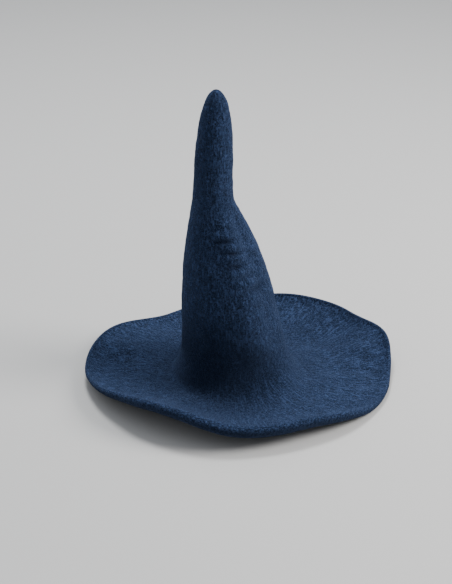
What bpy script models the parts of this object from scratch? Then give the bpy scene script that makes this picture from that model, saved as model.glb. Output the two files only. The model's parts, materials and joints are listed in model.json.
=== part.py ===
"""A pointed witch hat of thick navy wool felt, with the ribbon sweatband that is sewn inside it.

Metres, +Z up. The hat stands on the flat ring of its brim at z = 0, and its front faces -Y.
The crown leans to -X as it rises, has a crease a third of the way up, and a sharper one at its
neck, where the thumb-shaped tip begins. The felt is one seamless sheet on the real hat. It is split here only
where it bends: the crown at its two creases, and the brim along a straight fold in front and
behind. Each crown crease is a ball that turns in a socket, so it stays closed as it leans.
"""

import math

import bpy
from mathutils import Matrix, Vector

# What the rest follows from.
HEAD_GIRTH = 0.560
HEAD_RADIUS = HEAD_GIRTH / math.tau
HAT_HEIGHT = 0.455
BRIM_RADIUS = 0.233
FELT = 0.0040
BRIM_FELT = 0.0050
RIBBON = 0.0010
GAP = 0.0004
CROWN_FOOT = HEAD_RADIUS + RIBBON + GAP + FELT

# The creases. The LEAN of a crown crease is how far it turns towards +X, in degrees. Its MOUTH is how far
# the lip below it stands out, and the outer and inner walls stop this far below it (WALL_END,
# INSIDE_END). MID is the crease a third of the way up.
MID_HEIGHT = 0.150
MID_LEAN = (-20.0, 20.0)
MID_MOUTH = 0.002
MID_WALL_END = 0.026
MID_INSIDE_END = 0.040
NECK_HEIGHT = 0.290
NECK_LEAN = (-15.0, 50.0)
NECK_MOUTH = 0.001
NECK_WALL_END = 0.013
NECK_INSIDE_END = 0.043
BALL_WALL = 0.0030
BALL_TOP = 0.014
LEAN_MARGIN = 1.5
SKIRT_MARGIN = 3.0

# The crown's outside runs straight between these places and is rounded at each corner: height, centre x,
# radius, and how gently the corner turns. They are the foot, the top of its flare, the shoulder where
# the wall turns in, the neck, and the tip.
FOOT_HEIGHT = 0.011
WALL_START = 0.050
CROWN = [
    (FOOT_HEIGHT, -0.004, CROWN_FOOT, 0.0),
    (0.10 * HAT_HEIGHT, -0.0055, 0.885 * HEAD_RADIUS, 0.010),
    (0.42 * HAT_HEIGHT, -0.021, 0.70 * HEAD_RADIUS, 0.020),
    (NECK_HEIGHT, -0.038, 0.33 * HEAD_RADIUS, 0.007),
    (HAT_HEIGHT, -0.032, 0.30 * HEAD_RADIUS, 0.0),
]
# The thumb-shaped tip closes as a blunt half ellipse this long. A bluntness of 2 is a true ellipse.
THUMB_LENGTH = 0.120
THUMB_BLUNTNESS = 2.3
THUMB_FELT = 1.6 * FELT
BREAK_RADIUS = 0.108

# The brim's rolled edge. It is a circle RIM_HEIGHT off the ground that swells up (LIFTS) and out
# (REACHES): direction in degrees from +X, how many degrees it spreads either side, and how far.
REST_RADIUS = 0.135
RIM_HEIGHT = 0.012
LIFTS = [
    (14, 24, 0.012),
    (44, 60, 0.028),
    (74, 26, 0.006),
    (106, 20, 0.005),
    (152, 30, 0.005),
    (176, 50, 0.009),
    (242, 62, 0.044),
    (298, 36, 0.022),
]
REACHES = [
    (12, 24, 0.009),
    (16, 14, 0.004),
    (122, 30, -0.015),
    (150, 30, 0.004),
    (186, 36, 0.004),
    (266, 34, 0.009),
    (332, 46, 0.006),
]

# From the flat ring the brim rises slowly to a lip that stands at this angle where it is high enough. The
# pulls say how long each end of that rise keeps its direction.
LIP_ANGLE = 65.0
LIP_FULL_HEIGHT = 0.025
LIP_PULL = 0.036
DISH_PULL = 0.7

# The two folds lie just outside the ring that the hat rests on, where the brim has left the ground, so
# that a flap has room to turn down as well as up. A block cuts each flap free, and this is how far it
# reaches out, down and up.
FOLD_Y = REST_RADIUS + 0.010
FLAP_UP = 45.0
FLAP_DOWN = 20.0
BLOCK_REACH = 0.30
BLOCK_BELOW = 0.02
BLOCK_ABOVE = 0.10

# The sweatband and its trimmings.
BAND_BOTTOM = 0.012
BAND_HEIGHT = 0.025
STITCHES = 60
STITCH_BOTTOM = BAND_BOTTOM + 0.0020
STITCH_HEIGHT = 0.0035
THREAD_RADIUS = 0.0004
THREAD_STRETCH = 1.4
THREAD_SIDES = 5
THIN_RIBBON = 0.0006
BOW_HEIGHT = BAND_BOTTOM + 0.015
BOW_LENGTH = 0.014
BOW_WIDTH = 0.008
BOW_LAYER = 0.0005
BOW_FRONT_BULGE = 0.0090
BOW_BACK_BULGE = 0.0028
BOW_STEPS = 40
WRAP_WIDTH = 0.004
WRAP_STEPS = 24
WRAP_SQUARENESS = 8
WRAP_LOOSE = 1.5 * GAP
WRAP_DEEP = BOW_LAYER + THIN_RIBBON + WRAP_LOOSE
WRAP_HIGH = BOW_WIDTH / 2 + THIN_RIBBON / 2 + WRAP_LOOSE
BOW_DEPTH = GAP + THIN_RIBBON / 2 + WRAP_DEEP

CROWN_SIDES = 60
TIP_SIDES = 36
BRIM_SIDES = 72

FELT_NAVY = (0.016, 0.034, 0.078, 1.0)
BAND_NAVY = (0.008, 0.012, 0.024, 1.0)
THREAD_NAVY = (0.030, 0.045, 0.085, 1.0)


def clear_scene():
    for obj in list(bpy.data.objects):
        bpy.data.objects.remove(obj, do_unlink=True)


def hermite(p0, p1, m0, m1, t):
    """The cubic from p0 to p1 whose slopes at its ends are m0 and m1."""
    return (
        (2 * t**3 - 3 * t**2 + 1) * p0
        + (t**3 - 2 * t**2 + t) * m0
        + (3 * t**2 - 2 * t**3) * p1
        + (t**3 - t**2) * m1
    )


def along_crown(z, column):
    """The crown's centre or radius at height z, before its tip closes."""
    runs = zip(CROWN, CROWN[1:])
    slopes = [(there[column] - here[column]) / (there[0] - here[0]) for here, there in runs]
    value = CROWN[0][column] + slopes[0] * (z - CROWN[0][0])
    for corner, before, after in zip(CROWN[1:-1], slopes, slopes[1:]):
        height, softness = corner[0], corner[3]
        value += (after - before) * softness * math.log1p(math.exp((z - height) / softness))
    return value


def crown_x(z):
    return along_crown(z, 1)


def crown_radius(z):
    into_thumb = max(z - (HAT_HEIGHT - THUMB_LENGTH), 0.0) / THUMB_LENGTH
    closing = max(1.0 - into_thumb**THUMB_BLUNTNESS, 0.0) ** (1.0 / THUMB_BLUNTNESS)
    return along_crown(z, 2) * closing


def thumb_heights(angles):
    """Heights up the end that closes the tip, at these angles round it."""
    return [HAT_HEIGHT - THUMB_LENGTH * (1.0 - math.sin(math.radians(a))) for a in angles]


def swells(rows, azimuth):
    """The sum of the swells at this azimuth. Each falls smoothly from its middle to nothing at its sides."""
    total = 0.0
    for direction, sides, amount in rows:
        off = abs((azimuth - direction + 180.0) % 360.0 - 180.0)
        total += amount * (0.5 + 0.5 * math.cos(math.pi * min(off / sides, 1.0)))
    return total


def spread(start, stop, count):
    return [start + (stop - start) * i / (count - 1) for i in range(count)]


# A ring is (centre x, centre z, radius, lean in degrees towards +X).


def wall_rings(heights, inset):
    return [(crown_x(z), z, crown_radius(z) - inset, 0.0) for z in heights]


def ball_rings(hinge_z, radius, latitudes, lean=0.0):
    """Circles on the ball round a crease, at these latitudes about an axis that leans."""
    tilt = math.radians(lean)
    rings = []
    for latitude in latitudes:
        along = radius * math.sin(math.radians(latitude))
        rings.append(
            (
                crown_x(hinge_z) + along * math.sin(tilt),
                hinge_z + along * math.cos(tilt),
                radius * math.cos(math.radians(latitude)),
                lean,
            )
        )
    return rings


def ball_radius(hinge_z):
    return crown_radius(hinge_z) - FELT - GAP


def socket_rings(hinge_z, lean, clearance):
    """The top of the piece below a crease, from its outer edge inwards: a lip round the turning ball."""
    middle = sum(lean) / 2
    mouth = -(lean[1] - lean[0]) / 2 - LEAN_MARGIN
    socket = ball_radius(hinge_z) + GAP
    shoulder = crown_radius(hinge_z) + clearance
    return (
        ball_rings(hinge_z, shoulder, [mouth], middle)
        + ball_rings(hinge_z, socket, [mouth, mouth - 7, mouth - 14], middle)
    )


def skirt_rings(hinge_z, lean):
    """The ball at the foot of the piece above a crease, from inside its top down, then up its outside."""
    bottom = -(lean[1] - lean[0]) - SKIRT_MARGIN
    outside = ball_radius(hinge_z)
    latitudes = spread(0.0, bottom, 6)
    return (
        ball_rings(hinge_z, outside - BALL_WALL, latitudes)
        + ball_rings(hinge_z, outside, latitudes[::-1])
    )


def ring_points(ring, sides):
    x, z, radius, lean = ring
    tilt = Matrix.Rotation(math.radians(lean), 3, "Y")
    points = []
    for side in range(sides):
        angle = math.tau * side / sides
        flat = Vector((radius * math.cos(angle), radius * math.sin(angle), 0.0))
        points.append(Vector((x, 0.0, z)) + tilt @ flat)
    return points


def strip_faces(first, second, count):
    """Quads between two rings of vertices whose numbers start at first and second."""
    faces = []
    for i in range(count):
        j = (i + 1) % count
        faces.append((first + i, first + j, second + j, second + i))
    return faces


def material(name, colour, roughness):
    made = bpy.data.materials.new(name)
    made.use_nodes = True
    shader = made.node_tree.nodes["Principled BSDF"]
    shader.inputs["Base Color"].default_value = colour
    shader.inputs["Roughness"].default_value = roughness
    shader.inputs["Metallic"].default_value = 0.0
    made.diffuse_color = colour
    return made


def add_object(name, points, faces, origin, look):
    mesh = bpy.data.meshes.new(name)
    mesh.from_pydata([p - origin for p in points], [], faces)
    mesh.polygons.foreach_set("use_smooth", [True] * len(mesh.polygons))
    mesh.update()
    obj = bpy.data.objects.new(name, mesh)
    obj.location = origin
    if look:
        obj.data.materials.append(look)
    bpy.context.scene.collection.objects.link(obj)
    return obj


def loft(name, rings, sides, origin, look):
    """A closed skin over the rings. With an end ring of no radius at each end it closes there, or else it
    runs on from the last ring to the first."""
    capped = rings[0][2] == 0.0
    body = rings[1:-1] if capped else rings
    points = [p for ring in body for p in ring_points(ring, sides)]
    faces = []
    for i in range(len(body) - 1 if capped else len(body)):
        faces += strip_faces(i * sides, (i + 1) % len(body) * sides, sides)
    if capped:
        last = (len(body) - 1) * sides
        for end, first in ((rings[0], 0), (rings[-1], last)):
            points.append(Vector((end[0], 0.0, end[1])))
            pole = len(points) - 1
            for i in range(sides):
                pair = (first + i, first + (i + 1) % sides)
                faces.append((*pair, pole) if first else (*pair[::-1], pole))
    return add_object(name, points, faces, origin, look)


def crease(height):
    return Vector((crown_x(height), 0.0, height))


def crown_lower(look):
    """From the break of the brim to the lower crease. Its foot turns out to meet the brim."""
    turn = [math.radians(a) for a in (90, 67.5, 45, 22.5)]
    outer_foot = []
    inner_foot = []
    for a in turn:
        x = crown_x(FOOT_HEIGHT) * math.cos(a)
        out = (BREAK_RADIUS - CROWN_FOOT) * (1 - math.cos(a))
        inn = (BREAK_RADIUS - CROWN_FOOT + FELT) * (1 - math.cos(a))
        rise = (FOOT_HEIGHT - BRIM_FELT) * (1 - math.sin(a))
        outer_foot.append((x, BRIM_FELT + rise, CROWN_FOOT + out, 0.0))
        inner_foot.append((x, FOOT_HEIGHT * (1 - math.sin(a)), CROWN_FOOT - FELT + inn, 0.0))
    low = [FOOT_HEIGHT] + band_heights()
    rings = outer_foot + wall_rings(low + spread(WALL_START, MID_HEIGHT - MID_WALL_END, 6), 0.0)
    rings += socket_rings(MID_HEIGHT, MID_LEAN, MID_MOUTH)[0:3]
    rings += wall_rings(spread(MID_HEIGHT - MID_INSIDE_END, WALL_START, 4) + low[::-1], FELT)
    rings += inner_foot[::-1]
    return loft("crown_lower", rings, CROWN_SIDES, Vector((0.0, 0.0, 0.0)), look)


def crown_upper(look):
    """From the lower crease to the neck. Its foot is a ball in the lower crown's mouth."""
    rings = wall_rings(spread(MID_HEIGHT, NECK_HEIGHT - NECK_WALL_END, 11), 0.0)
    rings += socket_rings(NECK_HEIGHT, NECK_LEAN, NECK_MOUTH)
    rings += wall_rings(spread(NECK_HEIGHT - NECK_INSIDE_END, MID_HEIGHT + BALL_TOP, 7), FELT)
    rings += skirt_rings(MID_HEIGHT, MID_LEAN)
    return loft("crown_upper", rings, CROWN_SIDES, crease(MID_HEIGHT), look)


def crown_tip(look):
    """The thumb-shaped end above the neck, hollow, on a ball in the upper crown's mouth."""
    end = crown_x(HAT_HEIGHT)
    low = HAT_HEIGHT - THUMB_LENGTH
    rings = [(end, HAT_HEIGHT - THUMB_FELT, 0.0, 0.0)]
    rings += wall_rings(thumb_heights((66, 54, 42, 30, 15)), FELT)
    rings += wall_rings(spread(low, NECK_HEIGHT + 0.010, 3), FELT)
    rings += skirt_rings(NECK_HEIGHT, NECK_LEAN)
    rings += wall_rings(spread(NECK_HEIGHT, low, 4), 0.0)
    rings += wall_rings(thumb_heights((15, 30, 42, 54, 66, 76, 84)), 0.0)
    rings += [(end, HAT_HEIGHT, 0.0, 0.0)]
    return loft("crown_tip", rings, TIP_SIDES, crease(NECK_HEIGHT), look)


def brim_section(azimuth):
    """Half the brim's section as (radius, height) points: along the top, round the lip, back underneath."""
    half = BRIM_FELT / 2
    radius = BRIM_RADIUS + swells(REACHES, azimuth)
    height = RIM_HEIGHT + swells(LIFTS, azimuth)
    angle = math.radians(LIP_ANGLE) * min(1.0, height / LIP_FULL_HEIGHT)
    start = Vector((REST_RADIUS, half))
    end = Vector((radius - half, height - half))
    pull = min(LIP_PULL, 2.5 * (end.y - start.y) / math.sin(angle))
    pull_in = Vector((DISH_PULL * (end.x - start.x), 0.0))
    pull_out = pull * Vector((math.cos(angle), math.sin(angle)))
    line = [Vector((BREAK_RADIUS + GAP, half))]
    line += [hermite(start, end, pull_in, pull_out, t) for t in spread(0.0, 1.0, 9)]
    steps = [b - a for a, b in zip(line, line[1:])]
    ways = [steps[0]] + [a.normalized() + b.normalized() for a, b in zip(steps, steps[1:])]
    ways[1] = steps[0]
    ways.append(pull_out)
    across = [Vector((-way.y, way.x)).normalized() * half for way in ways]
    top = [p + n for p, n in zip(line, across)]
    under = [p - n for p, n in zip(line, across)]
    out = ways[-1].normalized() * half
    lip = [end + across[-1] * math.cos(a) + out * math.sin(a) for a in (math.pi / 3, 2 * math.pi / 3)]
    return top + lip + under[::-1]


def whole_brim(name, origin, look):
    points = []
    for side in range(BRIM_SIDES):
        azimuth = 360.0 * side / BRIM_SIDES
        turn = math.radians(azimuth)
        for radius, height in brim_section(azimuth):
            points.append(Vector((radius * math.cos(turn), radius * math.sin(turn), height)))
    count = len(points) // BRIM_SIDES
    faces = []
    for side in range(BRIM_SIDES):
        faces += strip_faces(side * count, (side + 1) % BRIM_SIDES * count, count)
    return add_object(name, points, faces, origin, look)


def fold_block(name, sign, reach):
    """Everything beyond a brim fold. reach is +1 for the space a flap needs, -1 for the flap's own side."""
    low, axis, high = -BLOCK_BELOW, BRIM_FELT / 2, BLOCK_ABOVE
    up = (high - axis) * math.tan(math.radians(FLAP_UP / 2))
    down = (axis - low) * math.tan(math.radians(FLAP_DOWN / 2))
    outline = [
        (BLOCK_REACH, low),
        (FOLD_Y - reach * (GAP + down), low),
        (FOLD_Y - reach * GAP, axis),
        (FOLD_Y - reach * (GAP + up), high),
        (BLOCK_REACH, high),
    ]
    points = [Vector((x, sign * y, z)) for x in (-BLOCK_REACH, BLOCK_REACH) for y, z in outline]
    count = len(outline)
    faces = strip_faces(0, count, count) + [tuple(range(count))[::-1], tuple(range(count, 2 * count))]
    if sign > 0:
        faces = [face[::-1] for face in faces]
    block = add_object(name, points, faces, Vector((0.0, 0.0, 0.0)), None)
    block.hide_render = True
    block.display_type = "WIRE"
    return block


def cut(obj, block, operation):
    modifier = obj.modifiers.new(block.name, "BOOLEAN")
    modifier.solver = "EXACT"
    modifier.operation = operation
    modifier.object = block


def brim(look):
    """The brim's middle, which the crown stands on and the hat rests on, and a flap before and behind it."""
    middle = whole_brim("brim_centre", Vector((0.0, 0.0, 0.0)), look("brim_centre_felt"))
    for name, sign in (("front", -1), ("back", 1)):
        fold = Vector((0.0, sign * FOLD_Y, BRIM_FELT / 2))
        flap = whole_brim("brim_" + name, fold, look(f"brim_{name}_felt"))
        cut(middle, fold_block(f"{name}_space", sign, 1), "DIFFERENCE")
        cut(flap, fold_block(f"{name}_block", sign, -1), "INTERSECT")


def band_heights():
    return spread(BAND_BOTTOM, BAND_BOTTOM + BAND_HEIGHT, 5)


def band_face(z):
    """Radius of the sweatband's inner face."""
    return crown_radius(z) - FELT - GAP - RIBBON


def sweatband(look):
    heights = band_heights()
    rings = wall_rings(heights, FELT + GAP)
    rings += wall_rings(heights[::-1], FELT + GAP + RIBBON)
    return loft("sweatband", rings, CROWN_SIDES, Vector((0.0, 0.0, 0.0)), look)


def on_band(along, z, depth):
    """A point this far along the sweatband from its back, at height z, and this deep into the hat."""
    angle = math.pi / 2 - along / band_face(z)
    radius = band_face(z) - depth
    return Vector((crown_x(z) + radius * math.cos(angle), radius * math.sin(angle), z))


def sweep(name, sections, look):
    """A closed loop through the sections, each a list of points round the thread or ribbon."""
    sides = len(sections[0])
    points = [p for section in sections for p in section]
    faces = []
    for i in range(len(sections)):
        faces += strip_faces(i * sides, (i + 1) % len(sections) * sides, sides)
    return add_object(name, points, faces, Vector((0.0, 0.0, 0.0)), look)


def sweatband_stitching(look):
    """The zigzag of thread that holds the ribbon's lower edge to the felt."""
    places = []
    for i in range(2 * STITCHES):
        z = STITCH_BOTTOM + STITCH_HEIGHT * (i % 2)
        angle = math.tau * i / (2 * STITCHES)
        radius = band_face(z) - GAP - THREAD_RADIUS
        places.append(Vector((crown_x(z) + radius * math.cos(angle), radius * math.sin(angle), z)))
    sections = []
    for i, place in enumerate(places):
        angle = math.tau * i / (2 * STITCHES)
        inward = Vector((-math.cos(angle), -math.sin(angle), 0.0))
        section = []
        for side in range(THREAD_SIDES):
            turn = math.tau * side / THREAD_SIDES
            across = inward * math.cos(turn) + Vector((0.0, 0.0, THREAD_STRETCH * math.sin(turn)))
            section.append(place + THREAD_RADIUS * across)
        sections.append(section)
    return sweep("sweatband_stitching", sections, look)


def ribbon_section(path, i, place):
    """The ribbon's two faces at point i of a flat path. place turns a flat point into a solid one."""
    before, here, after = path[i - 1], path[i], path[(i + 1) % len(path)]
    way = (after - before).normalized()
    across = Vector((-way.y, way.x)) * THIN_RIBBON / 2
    return place(here + across), place(here - across)


def sweatband_bow(look):
    """A flat bow of narrow ribbon over the join of the sweatband: one loop, pinched in the middle."""
    path = []
    for i in range(BOW_STEPS):
        t = math.tau * (i + 0.5) / BOW_STEPS
        bulge = BOW_FRONT_BULGE if math.sin(t) > 0 else BOW_BACK_BULGE
        depth = (BOW_LAYER + bulge * math.cos(t) ** 2) * math.sin(t)
        path.append(Vector((BOW_LENGTH * math.cos(t), BOW_DEPTH + depth)))
    sections = []
    for i in range(len(path)):
        edges = []
        for z in (BOW_HEIGHT - BOW_WIDTH / 2, BOW_HEIGHT + BOW_WIDTH / 2):
            edges.append(ribbon_section(path, i, lambda p, z=z: on_band(p.x, z, p.y)))
        sections.append([edges[0][0], edges[0][1], edges[1][1], edges[1][0]])
    return sweep("sweatband_bow", sections, look)


def bow_wrap(look):
    """The short ribbon round the bow's middle."""
    path = []
    for i in range(WRAP_STEPS):
        t = math.tau * i / WRAP_STEPS
        corner = (math.cos(t) ** WRAP_SQUARENESS + math.sin(t) ** WRAP_SQUARENESS) ** (1 / WRAP_SQUARENESS)
        path.append(Vector((WRAP_HIGH * math.cos(t) / corner, WRAP_DEEP * math.sin(t) / corner)))
    sections = []
    for i in range(len(path)):
        edges = []
        for along in (-WRAP_WIDTH / 2, WRAP_WIDTH / 2):
            edges.append(
                ribbon_section(
                    path,
                    i,
                    lambda p, a=along: on_band(a, BOW_HEIGHT + p.x, BOW_DEPTH + p.y),
                )
            )
        sections.append([edges[0][1], edges[0][0], edges[1][0], edges[1][1]])
    return sweep("bow_wrap", sections, look)


def centre_on_brim():
    """Moves the hat so that the origin is under the middle of its brim."""
    bpy.context.view_layer.update()
    corners = [
        obj.matrix_world @ vertex.co
        for obj in bpy.data.objects
        if not obj.hide_render
        for vertex in obj.data.vertices
    ]
    middle_x = (min(p.x for p in corners) + max(p.x for p in corners)) / 2
    middle_y = (min(p.y for p in corners) + max(p.y for p in corners)) / 2
    for obj in bpy.data.objects:
        obj.location -= Vector((middle_x, middle_y, 0.0))


def main():
    clear_scene()

    def felt(name):
        return material(name, FELT_NAVY, 0.95)

    crown_lower(felt("crown_lower_felt"))
    crown_upper(felt("crown_upper_felt"))
    crown_tip(felt("crown_tip_felt"))
    brim(felt)
    sweatband(material("sweatband_ribbon", BAND_NAVY, 0.6))
    sweatband_stitching(material("stitching_thread", THREAD_NAVY, 0.5))
    sweatband_bow(material("bow_ribbon", BAND_NAVY, 0.5))
    bow_wrap(material("wrap_ribbon", BAND_NAVY, 0.5))
    centre_on_brim()


main()
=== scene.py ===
import json
import math

import bmesh
import bpy
import numpy as np
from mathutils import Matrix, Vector, noise


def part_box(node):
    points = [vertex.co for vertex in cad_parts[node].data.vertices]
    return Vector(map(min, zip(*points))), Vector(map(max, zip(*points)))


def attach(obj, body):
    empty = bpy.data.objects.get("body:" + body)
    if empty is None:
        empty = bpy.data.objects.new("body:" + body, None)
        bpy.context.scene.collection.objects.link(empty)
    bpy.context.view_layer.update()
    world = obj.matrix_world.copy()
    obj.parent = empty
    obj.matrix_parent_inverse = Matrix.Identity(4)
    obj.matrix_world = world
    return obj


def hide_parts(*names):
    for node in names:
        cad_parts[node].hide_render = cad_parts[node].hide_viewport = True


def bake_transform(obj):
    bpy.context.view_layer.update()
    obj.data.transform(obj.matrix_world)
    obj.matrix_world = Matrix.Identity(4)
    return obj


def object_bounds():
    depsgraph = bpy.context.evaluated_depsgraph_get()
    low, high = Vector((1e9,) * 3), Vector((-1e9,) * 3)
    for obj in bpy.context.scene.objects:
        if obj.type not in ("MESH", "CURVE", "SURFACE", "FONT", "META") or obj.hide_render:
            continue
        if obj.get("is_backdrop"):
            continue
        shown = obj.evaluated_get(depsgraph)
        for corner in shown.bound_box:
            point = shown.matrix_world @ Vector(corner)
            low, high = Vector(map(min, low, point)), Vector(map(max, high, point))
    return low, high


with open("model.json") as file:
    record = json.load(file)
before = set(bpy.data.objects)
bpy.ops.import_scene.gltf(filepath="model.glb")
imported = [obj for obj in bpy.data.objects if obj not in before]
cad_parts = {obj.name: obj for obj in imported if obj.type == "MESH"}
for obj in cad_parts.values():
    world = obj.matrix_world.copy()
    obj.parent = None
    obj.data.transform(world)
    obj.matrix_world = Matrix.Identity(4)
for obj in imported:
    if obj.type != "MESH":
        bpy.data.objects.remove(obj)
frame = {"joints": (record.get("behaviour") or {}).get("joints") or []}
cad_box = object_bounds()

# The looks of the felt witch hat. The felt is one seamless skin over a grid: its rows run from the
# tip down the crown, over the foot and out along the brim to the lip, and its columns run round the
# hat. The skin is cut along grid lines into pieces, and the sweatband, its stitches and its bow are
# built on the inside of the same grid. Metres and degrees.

JOINTS = {joint["name"]: Vector(joint["pos_m"]) for joint in frame["joints"]}
FRONT_FOLD = JOINTS["front_brim_bend"]
BACK_FOLD = JOINTS["back_brim_bend"]
NECK = JOINTS["tip_bend"]
MIDDLE = (FRONT_FOLD + BACK_FOLD) / 2
MIDDLE.z = 0.0

# ---------------------------------------------------------------- shape of the felt

HEAD_GIRTH = 0.560
HEAD_RADIUS = HEAD_GIRTH / math.tau
HAT_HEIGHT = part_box("crown_tip")[1].z
BRIM_RADIUS = 0.233
FELT = 0.0040
BRIM_FELT = 0.0050
ABOVE_GROUND = 0.0003
RIBBON = 0.0010
GAP = 0.0004

# The crown's outside runs straight between these places and is rounded at each corner: height, centre x,
# radius, and how gently the corner turns. They are the foot, the top of its flare, the shoulder where
# the wall turns in, the neck, and the tip, which closes as a blunt half ellipse this long.
FOOT_HEIGHT = 0.011
CROWN = [
    (FOOT_HEIGHT, -0.004, HEAD_RADIUS + RIBBON + GAP + FELT, 0.0),
    (0.10 * HAT_HEIGHT, -0.0055, 0.885 * HEAD_RADIUS, 0.010),
    (0.42 * HAT_HEIGHT, -0.021, 0.70 * HEAD_RADIUS, 0.020),
    (NECK.z, -0.038, 0.33 * HEAD_RADIUS, 0.007),
    (HAT_HEIGHT, -0.032, 0.30 * HEAD_RADIUS, 0.0),
]
THUMB_LENGTH = 0.120
THUMB_BLUNTNESS = 2.3
POLE_RADIUS = 0.0004

# The brim's edge is a circle RIM_HEIGHT off the ground that swells up (LIFTS) and out (REACHES):
# direction in degrees from +X, how many degrees it spreads either side, and how far.
REST_RADIUS = 0.135
RIM_HEIGHT = 0.012
LIFTS = [
    (14, 24, 0.012),
    (44, 60, 0.028),
    (74, 26, 0.006),
    (106, 20, 0.005),
    (152, 30, 0.005),
    (176, 50, 0.009),
    (242, 62, 0.044),
    (298, 36, 0.022),
]
REACHES = [
    (12, 24, 0.009),
    (16, 14, 0.004),
    (122, 30, -0.015),
    (150, 30, 0.004),
    (186, 36, 0.004),
    (266, 34, 0.009),
    (332, 46, 0.006),
]

# The brim meets its lip at LIP_ANGLE where the lip is LIP_FULL_HEIGHT up or higher, and flatter where it is
# lower. LIP_PULL is how strongly the rise keeps that angle, though never more than LIP_PULL_MOST times its
# own height. DISH_PULL is how strongly it keeps to the ground at its start.
LIP_ANGLE = 70.0
LIP_FULL_HEIGHT = 0.025
LIP_PULL = 0.036
LIP_PULL_MOST = 2.5
DISH_PULL = 0.7

# The lip is thin behind and rolled fat in front. The roll is full to the first of these distances from the
# edge, and gone at the second.
LIP_FELT = 0.0060
LIP_SWELLS = [(276, 100, 0.0105)]
LIP_ROLL = (0.0085, 0.0150)
LIP_ROUNDNESS = 1.05

# The foot of the crown reaches this far up the wall and out on to the brim. In front a soft fold props the
# wall up, by FOOT_LIFTS and FOOT_REACHES, and moves only the wall's rows below FOLD_TOP. FOOT_PULL is how
# gently the foot turns. Between the foot and the rise the brim lies flat for at least FLAT_WIDTH.
FOOT_TOP = 0.013
FOOT_RADIUS = 0.107
FOOT_PULL = 1.3
FOLD_TOP = 0.070
FLAT_WIDTH = 0.012
FOOT_LIFTS = [(312, 60, 0.030), (264, 60, 0.016)]
FOOT_REACHES = [(314, 44, 0.032), (266, 60, 0.018), (20, 60, 0.005)]

# Soft ripples run out along the brim: azimuth, half width in degrees, and how far they stand up.
RIPPLES = [
    (352, 9, -0.004),
    (12, 10, 0.004),
    (34, 9, -0.003),
    (160, 9, 0.005),
    (178, 11, -0.004),
    (214, 12, -0.003),
    (258, 12, 0.003),
    (328, 9, -0.004),
]

# The sweatband is a ribbon inside the foot, with a zigzag of stitches and a bow at the back.
BAND_BOTTOM = 0.012
BAND_HEIGHT = 0.025
BAND_SLACK = 0.0005
BAND_CALM = 0.060
BAND_STEPS = 480
BAND_EDGE_SHARE = 0.75
STITCHES = 60
STITCH_STEPS = 8
STITCH_LOW = BAND_BOTTOM + 0.0020
STITCH_HEIGHT = 0.0035
THREAD_RADIUS = 0.0004
THREAD_SIDES = 8
THREAD_STRETCH = 1.4
THREAD_TWIST = 0.0006
THIN_RIBBON = 0.0006
BOW_HEIGHT = BAND_BOTTOM + 0.015
BOW_LENGTH = 0.014
BOW_WIDTH = 0.008
BOW_LAYER = 0.0005
BOW_FRONT_BULGE = 0.0090
BOW_BACK_BULGE = 0.0028
BOW_STEPS = 160
WRAP_STEPS = 96
WRAP_SQUARENESS = 8
WRAP_WIDTH = 0.004
WRAP_LOOSE = 1.5 * GAP
WRAP_DEEP = BOW_LAYER + THIN_RIBBON + WRAP_LOOSE
WRAP_HIGH = BOW_WIDTH / 2 + THIN_RIBBON / 2 + WRAP_LOOSE
BOW_DEPTH = BAND_SLACK + GAP + THIN_RIBBON / 2 + WRAP_DEEP

COLUMNS = 320
CROWN_ROWS = 236
FOOT_ROWS = 14
FLAT_ROWS = 10
RISE_ROWS = 46
LIP_ROWS = 7
SEAM_HEIGHT = 0.225

# Each piece of felt starts one row under the edge of the piece before it, this far below its face.
TUCK = 0.0004

# The fibres' coordinates: how far they go with each row, and with each row of the lip, how wide they start
# at the tip and widen on the way down, and how many times longer than wide the fibres are.
FIBRE_STEP = 0.0020
LIP_FIBRE_STEP = 0.0035
FIBRE_GIRTH = 0.030
FIBRE_WIDENING = 0.16
FIBRE_STRETCH = 8

# The crown isn't quite round. Soft ridges run down it: azimuth at the neck and at the foot, half width in
# degrees, and how far they stand out.
RIDGES = [
    (288, 300, 20, 0.0045),
    (322, 334, 18, -0.0040),
    (20, 8, 26, 0.0020),
    (200, 188, 30, 0.0020),
    (130, 112, 34, -0.0020),
]

# The ridges fade in over this share of the way down from the neck, and out over this height above the
# sweatband.
RIDGE_FADE_SHARE = 0.12
RIDGE_FADE_HEIGHT = 0.040

# Soft creases in the crown: height, azimuth, depth, half height, half width in degrees, slope. The felt
# bulges beside each crease, CREASE_SIDE half heights away, more above than below.
CREASE_SIDE = 1.9
CREASE_ABOVE = 0.45
CREASE_BELOW = 0.30
CREASE_SLOPE = 0.05
CREASES = [
    (0.240, 282, 0.0050, 0.0042, 22, 0.10),
    (0.222, 292, 0.0046, 0.0038, 18, -0.12),
    (0.204, 288, 0.0060, 0.0055, 20, 0.15),
    (0.186, 300, 0.0036, 0.0050, 18, -0.10),
    (0.164, 318, 0.0050, 0.0050, 20, -0.10),
    (0.256, 262, 0.0022, 0.0040, 34, 0.06),
    (0.214, 150, 0.0014, 0.0070, 34, -0.08),
    (0.185, 60, 0.0014, 0.0080, 36, 0.08),
]

# Lumps of the felt: how wide they are, and how far they stand out.
WIDE_LUMP = 0.050
WIDE_ON_CROWN = 0.0012
WIDE_ON_BRIM = 0.0022
SMALL_LUMP = 0.014
SMALL_DEEP = 0.0005
PILE = 0.0055
PILE_DEEP = 0.00022
INSIDE_PILE = 0.006
INSIDE_PILE_DEEP = 0.00015


def hermite(p0, p1, m0, m1, t):
    """The cubic from p0 to p1 whose slopes at its ends are m0 and m1."""
    return (
        (2 * t**3 - 3 * t**2 + 1) * p0
        + (t**3 - 2 * t**2 + t) * m0
        + (3 * t**2 - 2 * t**3) * p1
        + (t**3 - t**2) * m1
    )


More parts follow.
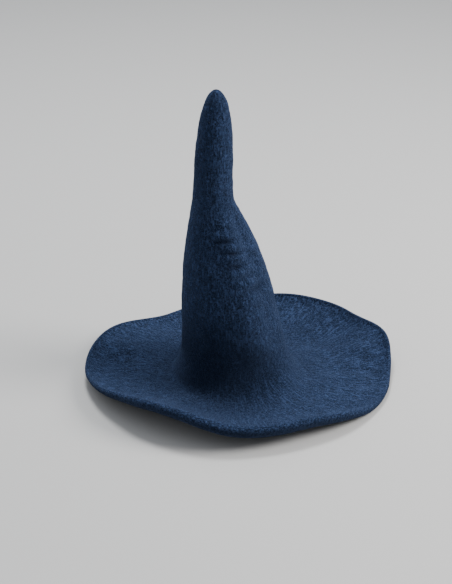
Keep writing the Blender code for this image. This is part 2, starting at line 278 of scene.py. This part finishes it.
def along_crown(z, column):
    """The crown's centre or radius at the heights z, before its tip closes."""
    places = np.array(CROWN)
    slopes = np.diff(places[:, column]) / np.diff(places[:, 0])
    value = places[0, column] + slopes[0] * (z - places[0, 0])
    for corner, turn in zip(places[1:-1], np.diff(slopes)):
        value = value + turn * corner[3] * np.logaddexp(0.0, (z - corner[0]) / corner[3])
    return value


def crown_x(z):
    return along_crown(z, 1)


def crown_radius(z):
    into_thumb = np.clip((z - (HAT_HEIGHT - THUMB_LENGTH)) / THUMB_LENGTH, 0.0, 1.0)
    return along_crown(z, 2) * (1.0 - into_thumb**THUMB_BLUNTNESS) ** (1.0 / THUMB_BLUNTNESS)


def swells(rows, azimuth):
    """The sum of the swells at each azimuth. Each falls smoothly from its middle to nothing at its sides."""
    total = np.zeros(len(azimuth))
    for direction, sides, amount in rows:
        off = np.abs((azimuth - direction + 180.0) % 360.0 - 180.0)
        total += amount * (0.5 + 0.5 * np.cos(np.pi * np.minimum(off / sides, 1.0)))
    return total


def ease(x):
    """0 below 0, 1 above 1, smooth between."""
    x = np.clip(x, 0.0, 1.0)
    return x * x * (3 - 2 * x)


def crown_heights():
    """Heights of the crown's rows, evenly spaced along its outline, with the pole at the tip left out."""
    dense = HAT_HEIGHT - (HAT_HEIGHT - FOOT_HEIGHT) * np.linspace(0.0, 1.0, 4000) ** 2
    steps = np.hypot(np.diff(dense), np.diff(crown_radius(dense)))
    length = np.concatenate([[0.0], np.cumsum(steps)])
    return np.interp(np.linspace(0.0, length[-1], CROWN_ROWS + 1), length, dense)[1:]


def radial(x, radius, z, azimuth):
    """Points at this radius about a centre at x, as an array with the coordinates last."""
    angle = np.radians(azimuth)
    return np.stack([x + radius * np.cos(angle), radius * np.sin(angle), z + 0.0 * radius], axis=-1)


def ridges(heights, azimuth):
    """How far the soft ridges stand out. They fade at the neck and where the sweatband sits."""
    down = (NECK.z - heights) / (NECK.z - FOOT_HEIGHT)
    total = 0.0 * heights + 0.0 * azimuth[None, :]
    for at_neck, at_foot, half_width, amount in RIDGES:
        line = at_neck + (at_foot - at_neck) * down
        off = (azimuth[None, :] - line + 180.0) % 360.0 - 180.0
        total = total + amount * np.exp(-((off / half_width) ** 2))
    over_band = heights - BAND_BOTTOM - BAND_HEIGHT
    return total * ease(down / RIDGE_FADE_SHARE) * ease(over_band / RIDGE_FADE_HEIGHT)


def crown_grid(azimuth, fold):
    """The middle of the felt from the tip to where the foot begins. fold is 1 with the fold that props the
    wall up, 0 without it."""
    heights = crown_heights()[:, None]
    foot = (FOOT_TOP + fold * swells(FOOT_LIFTS, azimuth))[None, :]
    low = ease((FOLD_TOP - heights) / (FOLD_TOP - FOOT_HEIGHT))
    heights = heights + (foot - FOOT_HEIGHT) * low
    radius = crown_radius(heights) - FELT / 2 + ridges(heights, azimuth)
    radius = np.maximum(radius, POLE_RADIUS)
    return radial(crown_x(heights), radius, heights, azimuth[None, :])


def foot_radius(azimuth, fold):
    return FOOT_RADIUS + fold * swells(FOOT_REACHES, azimuth)


def foot_grid(wall, azimuth, fold):
    """The foot: it turns from the crown's wall out on to the brim."""
    radius = foot_radius(azimuth, fold)
    brim = radial(0.0, radius, BRIM_FELT / 2, azimuth)
    reach = np.linalg.norm(brim - wall[-1], axis=-1)[:, None]
    down = wall[-1] - wall[-3]
    down /= np.linalg.norm(down, axis=-1)[:, None]
    out = radial(0.0, 1.0 + 0.0 * radius, 0.0, azimuth)
    t = np.linspace(0.0, 1.0, FOOT_ROWS + 1)[1:, None, None]
    leave = FOOT_PULL * (reach * down)[None]
    arrive = FOOT_PULL * (reach * out)[None]
    return hermite(wall[-1][None], brim[None], leave, arrive, t)


def lip_felt(azimuth):
    """How thick the lip is: rolled fat in front, thin behind."""
    return LIP_FELT + swells(LIP_SWELLS, azimuth)


def brim_grid(azimuth, fold):
    """The brim beyond the foot: a flat ring that the hat rests on, then the rise to the lip."""
    half = BRIM_FELT / 2
    inner = foot_radius(azimuth, fold)
    rest = np.maximum(REST_RADIUS, inner + FLAT_WIDTH)
    flat_t = np.linspace(0.0, 1.0, FLAT_ROWS + 1)[1:, None]
    flat = inner + (rest - inner) * flat_t
    lip = lip_felt(azimuth)
    rim = BRIM_RADIUS + swells(REACHES, azimuth) - lip / 2
    top = RIM_HEIGHT + swells(LIFTS, azimuth) - lip / 2
    angle = np.radians(LIP_ANGLE) * np.minimum(1.0, top / LIP_FULL_HEIGHT)
    pull = np.minimum(LIP_PULL, LIP_PULL_MOST * (top - half) / np.sin(angle))
    t = np.linspace(0.0, 1.0, RISE_ROWS + 1)[1:, None]
    radius = hermite(rest, rim, DISH_PULL * (rim - rest), pull * np.cos(angle), t)
    height = hermite(half + 0.0 * rest, top, 0.0 * rest, pull * np.sin(angle), t)
    ripple = sum(
        amount * np.exp(-((((azimuth - line + 180.0) % 360.0 - 180.0) / half_width) ** 2))
        for line, half_width, amount in RIPPLES
    )
    height = np.maximum(height + ripple * np.sin(np.pi * t) ** 2, half)
    return np.concatenate(
        [
            radial(0.0, flat, half, azimuth[None, :]),
            radial(0.0, radius, height, azimuth[None, :]),
        ]
    )


def normals_of(grid):
    """The way each point of a grid faces: out of the crown, up from the brim."""
    down = np.gradient(grid, axis=0)
    along = np.roll(grid, -1, axis=1) - np.roll(grid, 1, axis=1)
    across = np.cross(down, along)
    length = np.linalg.norm(across, axis=-1, keepdims=True)
    return across / np.maximum(length, 1e-12)


def noise_at(points, size, depth=1):
    """Smooth noise, about -1 to 1, over the points. size is the width of its lumps."""
    flat = points.reshape(-1, 3) / size
    values = [noise.fractal(Vector(p), 1.0, 2.0, depth) for p in flat]
    return np.array(values).reshape(points.shape[:-1])


def creases(grid, azimuth):
    """How far the soft creases sink the crown."""
    depth = np.zeros(grid.shape[:2])
    for height, middle, deep, half_height, half_width, lean in CREASES:
        off = (azimuth[None, :] - middle + 180.0) % 360.0 - 180.0
        line = height + lean * np.radians(off) * CREASE_SLOPE
        across = (grid[..., 2] - line) / half_height
        above = CREASE_ABOVE * np.exp(-((across - CREASE_SIDE) ** 2))
        below = CREASE_BELOW * np.exp(-((across + CREASE_SIDE) ** 2))
        fold = np.exp(-(across**2)) - above - below
        depth += deep * fold * np.exp(-((off / half_width) ** 2))
    return depth


def middle_grid(azimuth, fold):
    """The middle of the felt from the tip to the lip, lumpy and creased."""
    crown = crown_grid(azimuth, fold)
    foot = foot_grid(crown, azimuth, fold)
    middle = np.concatenate([crown, foot, brim_grid(azimuth, fold)])
    row = np.arange(len(middle))[:, None]
    on_crown = crown_share(len(middle))
    to_edge = lip_share(middle)
    wide_deep = WIDE_ON_CROWN * on_crown + WIDE_ON_BRIM * (1.0 - on_crown)
    wide_lumps = wide_deep * noise_at(middle, WIDE_LUMP, 2)
    lumps = wide_lumps + SMALL_DEEP * noise_at(middle + 0.3, SMALL_LUMP, 2)
    near_band = on_crown * ease((BAND_CALM - middle[..., 2]) / (BAND_CALM - BAND_BOTTOM - BAND_HEIGHT))
    near_foot = ease(1.0 - np.abs(row - CROWN_ROWS) / (2.0 * FOOT_ROWS))
    calm = ease((row - 3) / 12.0) * (1.0 - 0.6 * to_edge) * (1.0 - np.maximum(near_band, near_foot))
    sink = creases(middle, azimuth) * on_crown
    return middle + normals_of(middle) * (lumps * calm - sink)[..., None]


def crown_share(rows):
    """For each row, how much it belongs to the crown, 1 to 0."""
    row = np.arange(rows)[:, None]
    return 1.0 - ease((row - CROWN_ROWS) / FOOT_ROWS)


def lip_share(middle):
    """How much each point belongs to the rolled lip: 1 at the edge, 0 further in than the roll reaches."""
    steps = np.linalg.norm(np.diff(middle, axis=0), axis=-1)[::-1]
    inward = np.concatenate([np.zeros((1, steps.shape[1])), np.cumsum(steps, axis=0)])[::-1]
    full, gone = LIP_ROLL
    return ease((gone - inward) / (gone - full))


def felt_grids():
    """The felt's outside, lip and inside as one grid that runs tip, lip, tip, and the felt's middle."""
    azimuth = np.arange(COLUMNS) * 360.0 / COLUMNS
    middle = middle_grid(azimuth, 1.0)
    plain = middle_grid(azimuth, 0.0)
    on_crown = crown_share(len(middle))
    to_edge = lip_share(middle)
    facing = normals_of(middle)
    half = (FELT * on_crown + BRIM_FELT * (1.0 - on_crown)) / 2
    half = half + (lip_felt(azimuth)[None, :] - BRIM_FELT) / 2 * to_edge
    pile = PILE_DEEP * noise_at(middle + 0.7, PILE, 2)
    inside_pile = INSIDE_PILE_DEEP * noise_at(plain + 1.1, INSIDE_PILE, 2)
    outer = middle + facing * (half + pile)[..., None]
    inner = plain - normals_of(plain) * (half + inside_pile)[..., None]
    inner[..., 2] = np.maximum(inner[..., 2], ABOVE_GROUND)
    way = middle[-1] - middle[-2]
    way /= np.linalg.norm(way, axis=-1, keepdims=True)
    turn = np.radians(np.linspace(0.0, 180.0, LIP_ROWS + 2)[1:-1])[:, None, None]
    round_edge = facing[-1] * np.cos(turn) + way * np.sin(turn) * LIP_ROUNDNESS
    lip = middle[-1] + half[-1][..., None] * round_edge
    grid = np.concatenate([outer, lip, inner[::-1]])
    return grid + np.array(MIDDLE), middle + np.array(MIDDLE)


def fibre_coordinates(grid, rows):
    """Coordinates in which the fibres run down the crown and out along the brim, longer than wide."""
    azimuth = np.radians(np.arange(COLUMNS) * 360.0 / COLUMNS)[None, :]
    along = np.arange(rows)[:, None] * FIBRE_STEP
    girth = FIBRE_GIRTH + FIBRE_WIDENING * along
    lengthways = along / FIBRE_STRETCH + 0.0 * azimuth
    down = np.stack([girth * np.cos(azimuth), girth * np.sin(azimuth), lengthways], axis=-1)
    lip = np.repeat(down[-1:], LIP_ROWS, axis=0)
    round_lip = LIP_FIBRE_STEP * np.arange(1, LIP_ROWS + 1)
    lip[..., 2] += round_lip[:, None]
    under = down[::-1].copy()
    under[..., 2] += round_lip[-1]
    return np.concatenate([down, lip, under])


# ---------------------------------------------------------------- pieces of felt


def piece_rows(first, last, total):
    """Rows of the whole grid that one piece takes: first to last outside, then back inside."""
    outside = list(range(first, last + 1))
    inside = [total - 1 - i for i in outside[::-1]]
    if outside[-1] == (total - LIP_ROWS) // 2 - 1:
        outside += [outside[-1] + 1 + i for i in range(LIP_ROWS)]
    return outside + inside


def felt_piece(name, grid, facing, fibres, first, last, start=0, stop=COLUMNS):
    """A closed piece of the felt skin between two rows and, short of the whole way round, two columns."""
    rows = piece_rows(max(first - 1, 0), last, len(grid))
    whole = stop - start == COLUMNS
    columns = [c % COLUMNS for c in range(start, stop if whole else stop + 1)]
    wide, tall = len(columns), len(rows)
    points = grid[np.ix_(rows, columns)]
    normals = facing[np.ix_(rows, columns)]
    if first > 0:
        points[[0, -1]] -= TUCK * normals[[0, -1]]
    points = points.reshape(-1, 3)
    normals = normals.reshape(-1, 3)
    coordinates = fibres[np.ix_(rows, columns)].reshape(-1, 3)
    skin = []
    ends = []
    for i in range(tall - 1 if first == 0 else tall):
        j = (i + 1) % tall
        joins = skin if abs(rows[j] - rows[i]) == 1 else ends
        for c in range(wide if whole else wide - 1):
            d = (c + 1) % wide
            joins.append((i * wide + c, j * wide + c, j * wide + d, i * wide + d))
    if first == 0:
        for ring, turned in ((0, False), (tall - 1, True)):
            pole = points[ring * wide : (ring + 1) * wide].mean(axis=0)
            points = np.concatenate([points, pole[None]])
            normals = np.concatenate([normals, [[0.0, 0.0, -1.0 if turned else 1.0]]])
            coordinates = np.concatenate([coordinates, coordinates[ring * wide][None]])
            top = len(points) - 1
            for c in range(wide):
                pair = (ring * wide + c, ring * wide + (c + 1) % wide)
                skin.append((*pair[::-1], top) if turned else (*pair, top))
    if not whole:
        for i in range(tall // 2):
            j = tall - 1 - i
            if j - i < 2:
                break
            loop = (i, i + 1, j - 1, j) if j - i > 2 else (i, i + 1, j)
            ends.append(tuple(row * wide for row in loop))
            ends.append(tuple(row * wide + wide - 1 for row in loop[::-1]))
    mesh = bpy.data.meshes.new(name)
    faces = skin + ends
    mesh.from_pydata(points.tolist(), [], faces)
    mesh.update()
    mesh.polygons.foreach_set("use_smooth", [True] * len(faces))
    cut_edges = {key for polygon in mesh.polygons[len(skin) :] for key in polygon.edge_keys}
    mesh.edges.foreach_set("use_edge_sharp", [edge.key in cut_edges for edge in mesh.edges])
    corners = np.empty(len(mesh.loops), np.int32)
    mesh.loops.foreach_get("vertex_index", corners)
    corner_normals = normals[corners]
    for polygon in mesh.polygons[len(skin) :]:
        corner_normals[polygon.loop_start : polygon.loop_start + polygon.loop_total] = polygon.normal
    mesh.normals_split_custom_set(corner_normals.tolist())
    for label, values in (("fibre", coordinates), ("rest", points)):
        layer = mesh.attributes.new(label, "FLOAT_VECTOR", "POINT")
        layer.data.foreach_set("vector", np.ascontiguousarray(values, np.float32).ravel())
    obj = bpy.data.objects.new(name, mesh)
    bpy.context.scene.collection.objects.link(obj)
    return obj


def build_felt(look):
    grid, middle = felt_grids()
    facing = normals_of(grid)
    fibres = fibre_coordinates(grid, len(middle))
    seam = int(np.argmin(np.abs(middle[:CROWN_ROWS, 0, 2] - SEAM_HEIGHT)))
    foot = CROWN_ROWS + FOOT_ROWS - 1
    edge = len(middle) - 1
    half_way = COLUMNS // 2

    tip = felt_piece("felt_tip", grid, facing, fibres, 0, seam)
    crown = felt_piece("felt_crown", grid, facing, fibres, seam, foot)
    back = felt_piece("felt_brim_back", grid, facing, fibres, foot, edge, 0, half_way)
    front = felt_piece("felt_brim_front", grid, facing, fibres, foot, edge, half_way, COLUMNS)
    for obj in (tip, crown, back, front):
        obj.data.materials.append(look)

    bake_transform(tip)
    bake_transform(crown)
    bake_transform(back)
    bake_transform(front)
    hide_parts("crown_tip")
    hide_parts("crown_upper", "crown_lower")
    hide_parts("brim_back", "brim_centre")
    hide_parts("brim_front")
    return grid


# ---------------------------------------------------------------- sweatband and bow


def band_face(z):
    """Radius of the sweatband's inner face."""
    return crown_radius(z) - FELT - GAP - RIBBON


def on_band(along, z, depth):
    """A point this far along the sweatband from its back, at height z, and this deep into the hat."""
    angle = math.pi / 2 - along / band_face(z)
    radius = band_face(z) - depth
    return MIDDLE + Vector((crown_x(z) + radius * math.cos(angle), radius * math.sin(angle), z))


def sweep(name, sections, coordinates, look):
    """A closed loop through the sections, each a ring of points round the thread or ribbon."""
    sides = len(sections[0])
    faces = []
    for i in range(len(sections)):
        first, second = i * sides, (i + 1) % len(sections) * sides
        for j in range(sides):
            k = (j + 1) % sides
            faces.append((first + j, first + k, second + k, second + j))
    mesh = bpy.data.meshes.new(name)
    mesh.from_pydata([point for section in sections for point in section], [], faces)
    mesh.update()
    mesh.shade_smooth()
    layer = mesh.attributes.new("fibre", "FLOAT_VECTOR", "POINT")
    flat = [place for section in coordinates for place in section]
    layer.data.foreach_set("vector", np.array(flat, np.float32).ravel())
    mesh.materials.append(look)
    obj = bpy.data.objects.new(name, mesh)
    bpy.context.scene.collection.objects.link(obj)
    return obj


def ribbon_ring(count):
    """Places round a ribbon's section: across, from -1 to 1, and which face, 1 or -1."""
    across = np.linspace(-1.0, 1.0, count)
    return [(a, 1.0) for a in across] + [(a, -1.0) for a in across[::-1]]


def sweatband(look):
    """The ribbon, a little thinner along its edges and pressed in and out by the felt."""
    middle = BAND_BOTTOM + BAND_HEIGHT / 2
    sections = []
    coordinates = []
    for i in range(BAND_STEPS):
        angle = math.tau * i / BAND_STEPS
        slack = BAND_SLACK * (0.5 + 0.5 * math.sin(5 * angle) * math.cos(3 * angle))
        section = []
        places = []
        for across, face in ribbon_ring(14):
            z = middle + across * BAND_HEIGHT / 2
            bead = 1.0 if abs(across) < 0.95 else BAND_EDGE_SHARE
            radius = band_face(z) - slack + RIBBON / 2 + face * bead * RIBBON / 2
            place = Vector((crown_x(z) + radius * math.cos(angle), radius * math.sin(angle), z))
            section.append(MIDDLE + place)
            places.append((angle * band_face(middle), z, 0.0))
        sections.append(section)
        coordinates.append(places)
    return sweep("sweatband_ribbon", sections, coordinates, look)


def stitching(look):
    """The zigzag of thread along the ribbon's lower edge. Each stitch arches from hole to hole."""
    count = 2 * STITCHES * STITCH_STEPS
    path = []
    for i in range(count):
        angle = math.tau * i / count
        share = i / STITCH_STEPS % 2.0
        zigzag = share if share < 1.0 else 2.0 - share
        z = STITCH_LOW + STITCH_HEIGHT * zigzag
        arch = math.sin(math.pi * zigzag)
        depth = THREAD_RADIUS * (0.4 + 1.0 * arch) + BAND_SLACK
        radius = band_face(z) - depth
        path.append(MIDDLE + Vector((crown_x(z) + radius * math.cos(angle), radius * math.sin(angle), z)))
    sections = []
    coordinates = []
    for i, place in enumerate(path):
        angle = math.tau * i / count
        inward = Vector((-math.cos(angle), -math.sin(angle), 0.0))
        section = []
        places = []
        for side in range(THREAD_SIDES):
            turn = math.tau * side / THREAD_SIDES
            across = inward * math.cos(turn) + Vector((0.0, 0.0, THREAD_STRETCH * math.sin(turn)))
            section.append(place + THREAD_RADIUS * across)
            places.append((i * THREAD_TWIST, turn * THREAD_RADIUS, 0.0))
        sections.append(section)
        coordinates.append(places)
    return sweep("band_stitches", sections, coordinates, look)


def ribbon_loop(name, path, width, place, look):
    """A loop of narrow ribbon along a flat path. place turns a path point and an offset across it solid."""
    sections = []
    coordinates = []
    length = 0.0
    for i, here in enumerate(path):
        before, after = path[i - 1], path[(i + 1) % len(path)]
        way = (after - before).normalized()
        length += (here - before).length if i else 0.0
        out = Vector((-way.y, way.x)) * THIN_RIBBON / 2
        section = []
        places = []
        for across, face in ribbon_ring(7):
            thin = 1.0 if abs(across) < 0.9 else 0.7
            section.append(place(here + face * thin * out, across * width / 2))
            places.append((length, across * width / 2, 0.0))
        sections.append(section)
        coordinates.append(places)
    return sweep(name, sections, coordinates, look)


def bow(look):
    """A flat bow over the join of the sweatband: one loop, pinched in the middle."""
    path = []
    for i in range(BOW_STEPS):
        t = math.tau * (i + 0.5) / BOW_STEPS
        bulge = BOW_FRONT_BULGE if math.sin(t) > 0 else BOW_BACK_BULGE
        depth = (BOW_LAYER + bulge * math.cos(t) ** 2) * math.sin(t)
        path.append(Vector((BOW_LENGTH * math.cos(t), BOW_DEPTH + depth)))
    return ribbon_loop("bow_loop", path, BOW_WIDTH, lambda p, a: on_band(p.x, BOW_HEIGHT + a, p.y), look)


def wrap(look):
    """The short ribbon round the bow's middle."""
    path = []
    for i in range(WRAP_STEPS):
        t = math.tau * i / WRAP_STEPS
        corner = (math.cos(t) ** WRAP_SQUARENESS + math.sin(t) ** WRAP_SQUARENESS) ** (1 / WRAP_SQUARENESS)
        path.append(Vector((WRAP_HIGH * math.cos(t) / corner, WRAP_DEEP * math.sin(t) / corner)))

    def place(p, a):
        return on_band(a, BOW_HEIGHT + p.x, BOW_DEPTH + p.y)

    return ribbon_loop("bow_knot", path, WRAP_WIDTH, place, look)


def face_outwards(obj):
    """Turns the faces round if they point into the piece."""
    shape = bmesh.new()
    shape.from_mesh(obj.data)
    if shape.calc_volume(signed=True) < 0.0:
        bmesh.ops.reverse_faces(shape, faces=shape.faces[:])
    shape.to_mesh(obj.data)
    shape.free()


def build_trim():
    ribbon = ribbon_material()
    pieces = [
        (sweatband(ribbon), "sweatband", "sweatband_ribbon"),
        (stitching(thread_material()), "sweatband_stitching", "stitching_thread"),
        (bow(ribbon), "sweatband_bow", "bow_ribbon"),
        (wrap(ribbon), "bow_wrap", "wrap_ribbon"),
    ]
    for obj, node, slot in pieces:
        face_outwards(obj)
        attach(obj, "hat_base")
        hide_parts(node)


# ---------------------------------------------------------------- materials


class Nodes:
    """Short ways to add and join the nodes of one material."""

    def __init__(self, name):
        self.material = bpy.data.materials.new(name)
        self.material.use_nodes = True
        self.tree = self.material.node_tree
        self.shader = self.tree.nodes["Principled BSDF"]

    def add(self, kind, **settings):
        node = self.tree.nodes.new(kind)
        for key, value in settings.items():
            setattr(node, key, value)
        return node

    def join(self, source, target):
        self.tree.links.new(source, target)

    def attribute(self, name):
        return self.add("ShaderNodeAttribute", attribute_name=name).outputs["Vector"]

    def noise(self, vector, size, detail=2.0, roughness=0.5):
        node = self.add("ShaderNodeTexNoise")
        node.inputs["Scale"].default_value = 1.0 / size
        node.inputs["Detail"].default_value = detail
        node.inputs["Roughness"].default_value = roughness
        self.join(vector, node.inputs["Vector"])
        return node.outputs["Fac"]

    def spread(self, value, low, high, to_low=0.0, to_high=1.0):
        node = self.add("ShaderNodeMapRange", interpolation_type="SMOOTHSTEP")
        for key, number in (("From Min", low), ("From Max", high), ("To Min", to_low), ("To Max", to_high)):
            node.inputs[key].default_value = number
        self.join(value, node.inputs["Value"])
        return node.outputs["Result"]

    def mix(self, share, first, second):
        node = self.add("ShaderNodeMix", data_type="RGBA")
        for value, socket in ((share, node.inputs[0]), (first, node.inputs[6]), (second, node.inputs[7])):
            if isinstance(value, (tuple, float)):
                socket.default_value = value
            else:
                self.join(value, socket)
        return node.outputs[2]

    def maths(self, operation, first, second):
        node = self.add("ShaderNodeMath", operation=operation)
        for value, socket in zip((first, second), node.inputs):
            if isinstance(value, float):
                socket.default_value = value
            else:
                self.join(value, socket)
        return node.outputs[0]

    def bump(self, height, distance, strength=1.0, normal=None):
        node = self.add("ShaderNodeBump")
        node.inputs["Distance"].default_value = distance
        node.inputs["Strength"].default_value = strength
        self.join(height, node.inputs["Height"])
        if normal:
            self.join(normal, node.inputs["Normal"])
        return node.outputs["Normal"]

    def set(self, **values):
        for key, value in values.items():
            socket = self.shader.inputs[key.replace("_", " ")]
            if isinstance(value, (float, tuple)):
                socket.default_value = value
            else:
                self.join(value, socket)


# The felt's dyes, the darker navy painted into its hollows as shade, and how strongly the pale fibres show
# as grain and as streaks, and the clouds calm them.
DEEP_NAVY = (0.0026, 0.0052, 0.0120, 1.0)
NAVY = (0.0070, 0.0150, 0.0360, 1.0)
PALE_BLUE = (0.0900, 0.1480, 0.3300, 1.0)
LINT_GREY = (0.16, 0.17, 0.19, 1.0)
PAINTED_SHADE_NAVY = (0.0034, 0.0066, 0.0155, 1.0)
GRAIN_SHARE = 0.60
STREAK_SHARE = 0.42
CLOUD_SHARE = 0.20
LINT_SPACING = 0.016

# How far the ambient occlusion looks for nearby surfaces. The closer they are, the more painted shade
# darkens the felt's colour in hollows, creases and round the crown's foot.
PAINTED_SHADE_REACH = 0.160


def felt_material():
    """Navy wool felt: mottled, with fibres that run down and outwards, a soft sheen and specks of lint.
    Shade is painted into its hollows: ambient occlusion darkens the colour toward a deep navy."""
    n = Nodes("navy_felt")
    rest = n.attribute("rest")
    fibre = n.attribute("fibre")
    clouds = n.spread(n.noise(rest, 0.030, 3.0), 0.35, 0.68)
    clumps = n.spread(n.noise(rest, 0.0042, 3.0, 0.6), 0.36, 0.66)
    streaks = n.spread(n.noise(fibre, 0.0022, 3.0, 0.70), 0.50, 0.64)
    grain = n.spread(n.noise(rest, 0.0030, 4.0, 0.80), 0.50, 0.64)
    colour = n.mix(clumps, DEEP_NAVY, NAVY)
    colour = n.mix(n.maths("MULTIPLY", grain, GRAIN_SHARE), colour, PALE_BLUE)
    colour = n.mix(n.maths("MULTIPLY", streaks, STREAK_SHARE), colour, PALE_BLUE)
    colour = n.mix(n.maths("MULTIPLY", clouds, CLOUD_SHARE), colour, NAVY)
    specks = n.add("ShaderNodeTexVoronoi", feature="F1")
    specks.inputs["Scale"].default_value = 1.0 / LINT_SPACING
    n.join(rest, specks.inputs["Vector"])
    lint = n.spread(specks.outputs["Distance"], 0.050, 0.030)
    colour = n.mix(n.maths("MULTIPLY", lint, 0.5), colour, LINT_GREY)
    # Painted shade: where ambient occlusion finds nearby surfaces, in hollows, creases and round the crown's
    # foot, the colour is darkened toward a deep navy.
    painted_shade = n.add("ShaderNodeAmbientOcclusion", samples=12)
    painted_shade.inputs["Distance"].default_value = PAINTED_SHADE_REACH
    colour = n.mix(n.spread(painted_shade.outputs["AO"], 0.52, 0.97), PAINTED_SHADE_NAVY, colour)
    height = n.maths("ADD", n.maths("MULTIPLY", clumps, 0.4), n.maths("MULTIPLY", streaks, 0.3))
    height = n.maths("ADD", height, n.maths("MULTIPLY", grain, 0.6))
    soft = n.bump(height, 0.0026, 1.0)
    fuzz = n.bump(n.noise(rest, 0.0009, 3.0, 0.7), 0.0006, 0.9, soft)
    n.set(
        Base_Color=colour,
        Roughness=0.95,
        Specular_IOR_Level=0.06,
        Sheen_Weight=0.24,
        Sheen_Roughness=0.50,
        Sheen_Tint=(0.26, 0.40, 0.80, 1.0),
        Normal=fuzz,
    )
    return n.material


def ribbon_material():
    """Near-black grosgrain: fine ribs across the ribbon, with a dull sheen."""
    n = Nodes("grosgrain")
    ribs = n.add("ShaderNodeTexWave", wave_type="BANDS", bands_direction="X", wave_profile="SIN")
    ribs.inputs["Scale"].default_value = 320.0
    n.join(n.attribute("fibre"), ribs.inputs["Vector"])
    colour = n.mix(ribs.outputs["Fac"], (0.005, 0.008, 0.016, 1.0), (0.010, 0.015, 0.030, 1.0))
    n.set(
        Base_Color=colour,
        Roughness=0.55,
        Sheen_Weight=0.2,
        Normal=n.bump(ribs.outputs["Fac"], 0.0002, 0.7),
    )
    return n.material


def thread_material():
    """Navy thread with its twist."""
    n = Nodes("navy_thread")
    twist = n.add("ShaderNodeTexWave", wave_type="BANDS", bands_direction="DIAGONAL", wave_profile="SIN")
    twist.inputs["Scale"].default_value = 500.0
    n.join(n.attribute("fibre"), twist.inputs["Vector"])
    colour = n.mix(twist.outputs["Fac"], (0.016, 0.025, 0.048, 1.0), (0.034, 0.050, 0.092, 1.0))
    n.set(Base_Color=colour, Roughness=0.5, Normal=n.bump(twist.outputs["Fac"], 0.00015, 0.6))
    return n.material


def floor_material():
    n = Nodes("pale_floor")
    n.set(Base_Color=(0.50, 0.495, 0.485, 1.0), Roughness=0.85, Specular_IOR_Level=0.2)
    return n.material


# ---------------------------------------------------------------- floor, light and camera

CAMERA_ELEVATION = 25.0
CAMERA_LENS = 85.0
CAMERA_DISTANCE = 2.1
LOOK_AT = MIDDLE + Vector((-0.018, 0.0, 0.138))
FLOOR_REACH = 60.0

# How bright the studio is at the horizon and below it, straight overhead, and as a plain backdrop.
SKY_LOW = 0.28
SKY_HIGH = 0.95
BACKDROP = 0.75
SKY_COLOUR = (0.90, 0.94, 1.0, 1.0)

# The lamps: name, place, width, power in watts, colour.
LAMP_AIM = (0.0, 0.0, 0.15)
LAMPS = [
    ("key", (2.1, -0.3, 1.6), 1.4, 92.0, (1.0, 0.98, 0.96)),
    ("back", (-0.3, 1.2, 3.0), 1.0, 88.0, (0.96, 0.98, 1.0)),
]


def build_stage():
    mesh = bpy.data.meshes.new("floor")
    corners = [(-1, -1), (1, -1), (1, 1), (-1, 1)]
    mesh.from_pydata([(x * FLOOR_REACH, y * FLOOR_REACH, 0.0) for x, y in corners], [], [(0, 1, 2, 3)])
    floor = bpy.data.objects.new("floor", mesh)
    mesh.materials.append(floor_material())
    bpy.context.scene.collection.objects.link(floor)
    floor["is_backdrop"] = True


def area_light(name, place, size, power, colour):
    data = bpy.data.lights.new(name, "AREA")
    data.shape = "DISK"
    data.size = size
    data.energy = power
    data.color = colour
    light = bpy.data.objects.new(name, data)
    light.location = place
    light.rotation_euler = (Vector(LAMP_AIM) - Vector(place)).to_track_quat("-Z", "Y").to_euler()
    bpy.context.scene.collection.objects.link(light)


def build_light():
    """Soft light that is brightest overhead, and two large lamps, high on the right and behind."""
    world = bpy.data.worlds.new("studio")
    world.use_nodes = True
    nodes, join = world.node_tree.nodes, world.node_tree.links.new
    direction = nodes.new("ShaderNodeSeparateXYZ")
    join(nodes.new("ShaderNodeTexCoord").outputs["Generated"], direction.inputs["Vector"])
    sky = nodes.new("ShaderNodeMapRange")
    sky.inputs["To Min"].default_value = SKY_LOW
    sky.inputs["To Max"].default_value = SKY_HIGH
    join(direction.outputs["Z"], sky.inputs["Value"])
    seen = nodes.new("ShaderNodeMix")
    join(nodes.new("ShaderNodeLightPath").outputs["Is Camera Ray"], seen.inputs["Factor"])
    join(sky.outputs["Result"], seen.inputs["A"])
    seen.inputs["B"].default_value = BACKDROP
    nodes["Background"].inputs["Color"].default_value = SKY_COLOUR
    join(seen.outputs["Result"], nodes["Background"].inputs["Strength"])
    bpy.context.scene.world = world
    for lamp in LAMPS:
        area_light(*lamp)


def build_camera():
    data = bpy.data.cameras.new("camera")
    data.lens = CAMERA_LENS
    data.sensor_width = 36.0
    data.sensor_fit = "AUTO"
    camera = bpy.data.objects.new("camera", data)
    rise = math.radians(CAMERA_ELEVATION)
    camera.location = LOOK_AT + CAMERA_DISTANCE * Vector((0.0, -math.cos(rise), math.sin(rise)))
    camera.rotation_euler = (math.pi / 2 - rise, 0.0, 0.0)
    bpy.context.scene.collection.objects.link(camera)
    bpy.context.scene.camera = camera


# ---------------------------------------------------------------- the whole

build_felt(felt_material())
build_trim()
build_stage()
build_light()
build_camera()

boxes = {"cad": cad_box, "visual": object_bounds()}
{name: [list(low), list(high)] for name, (low, high) in boxes.items()}
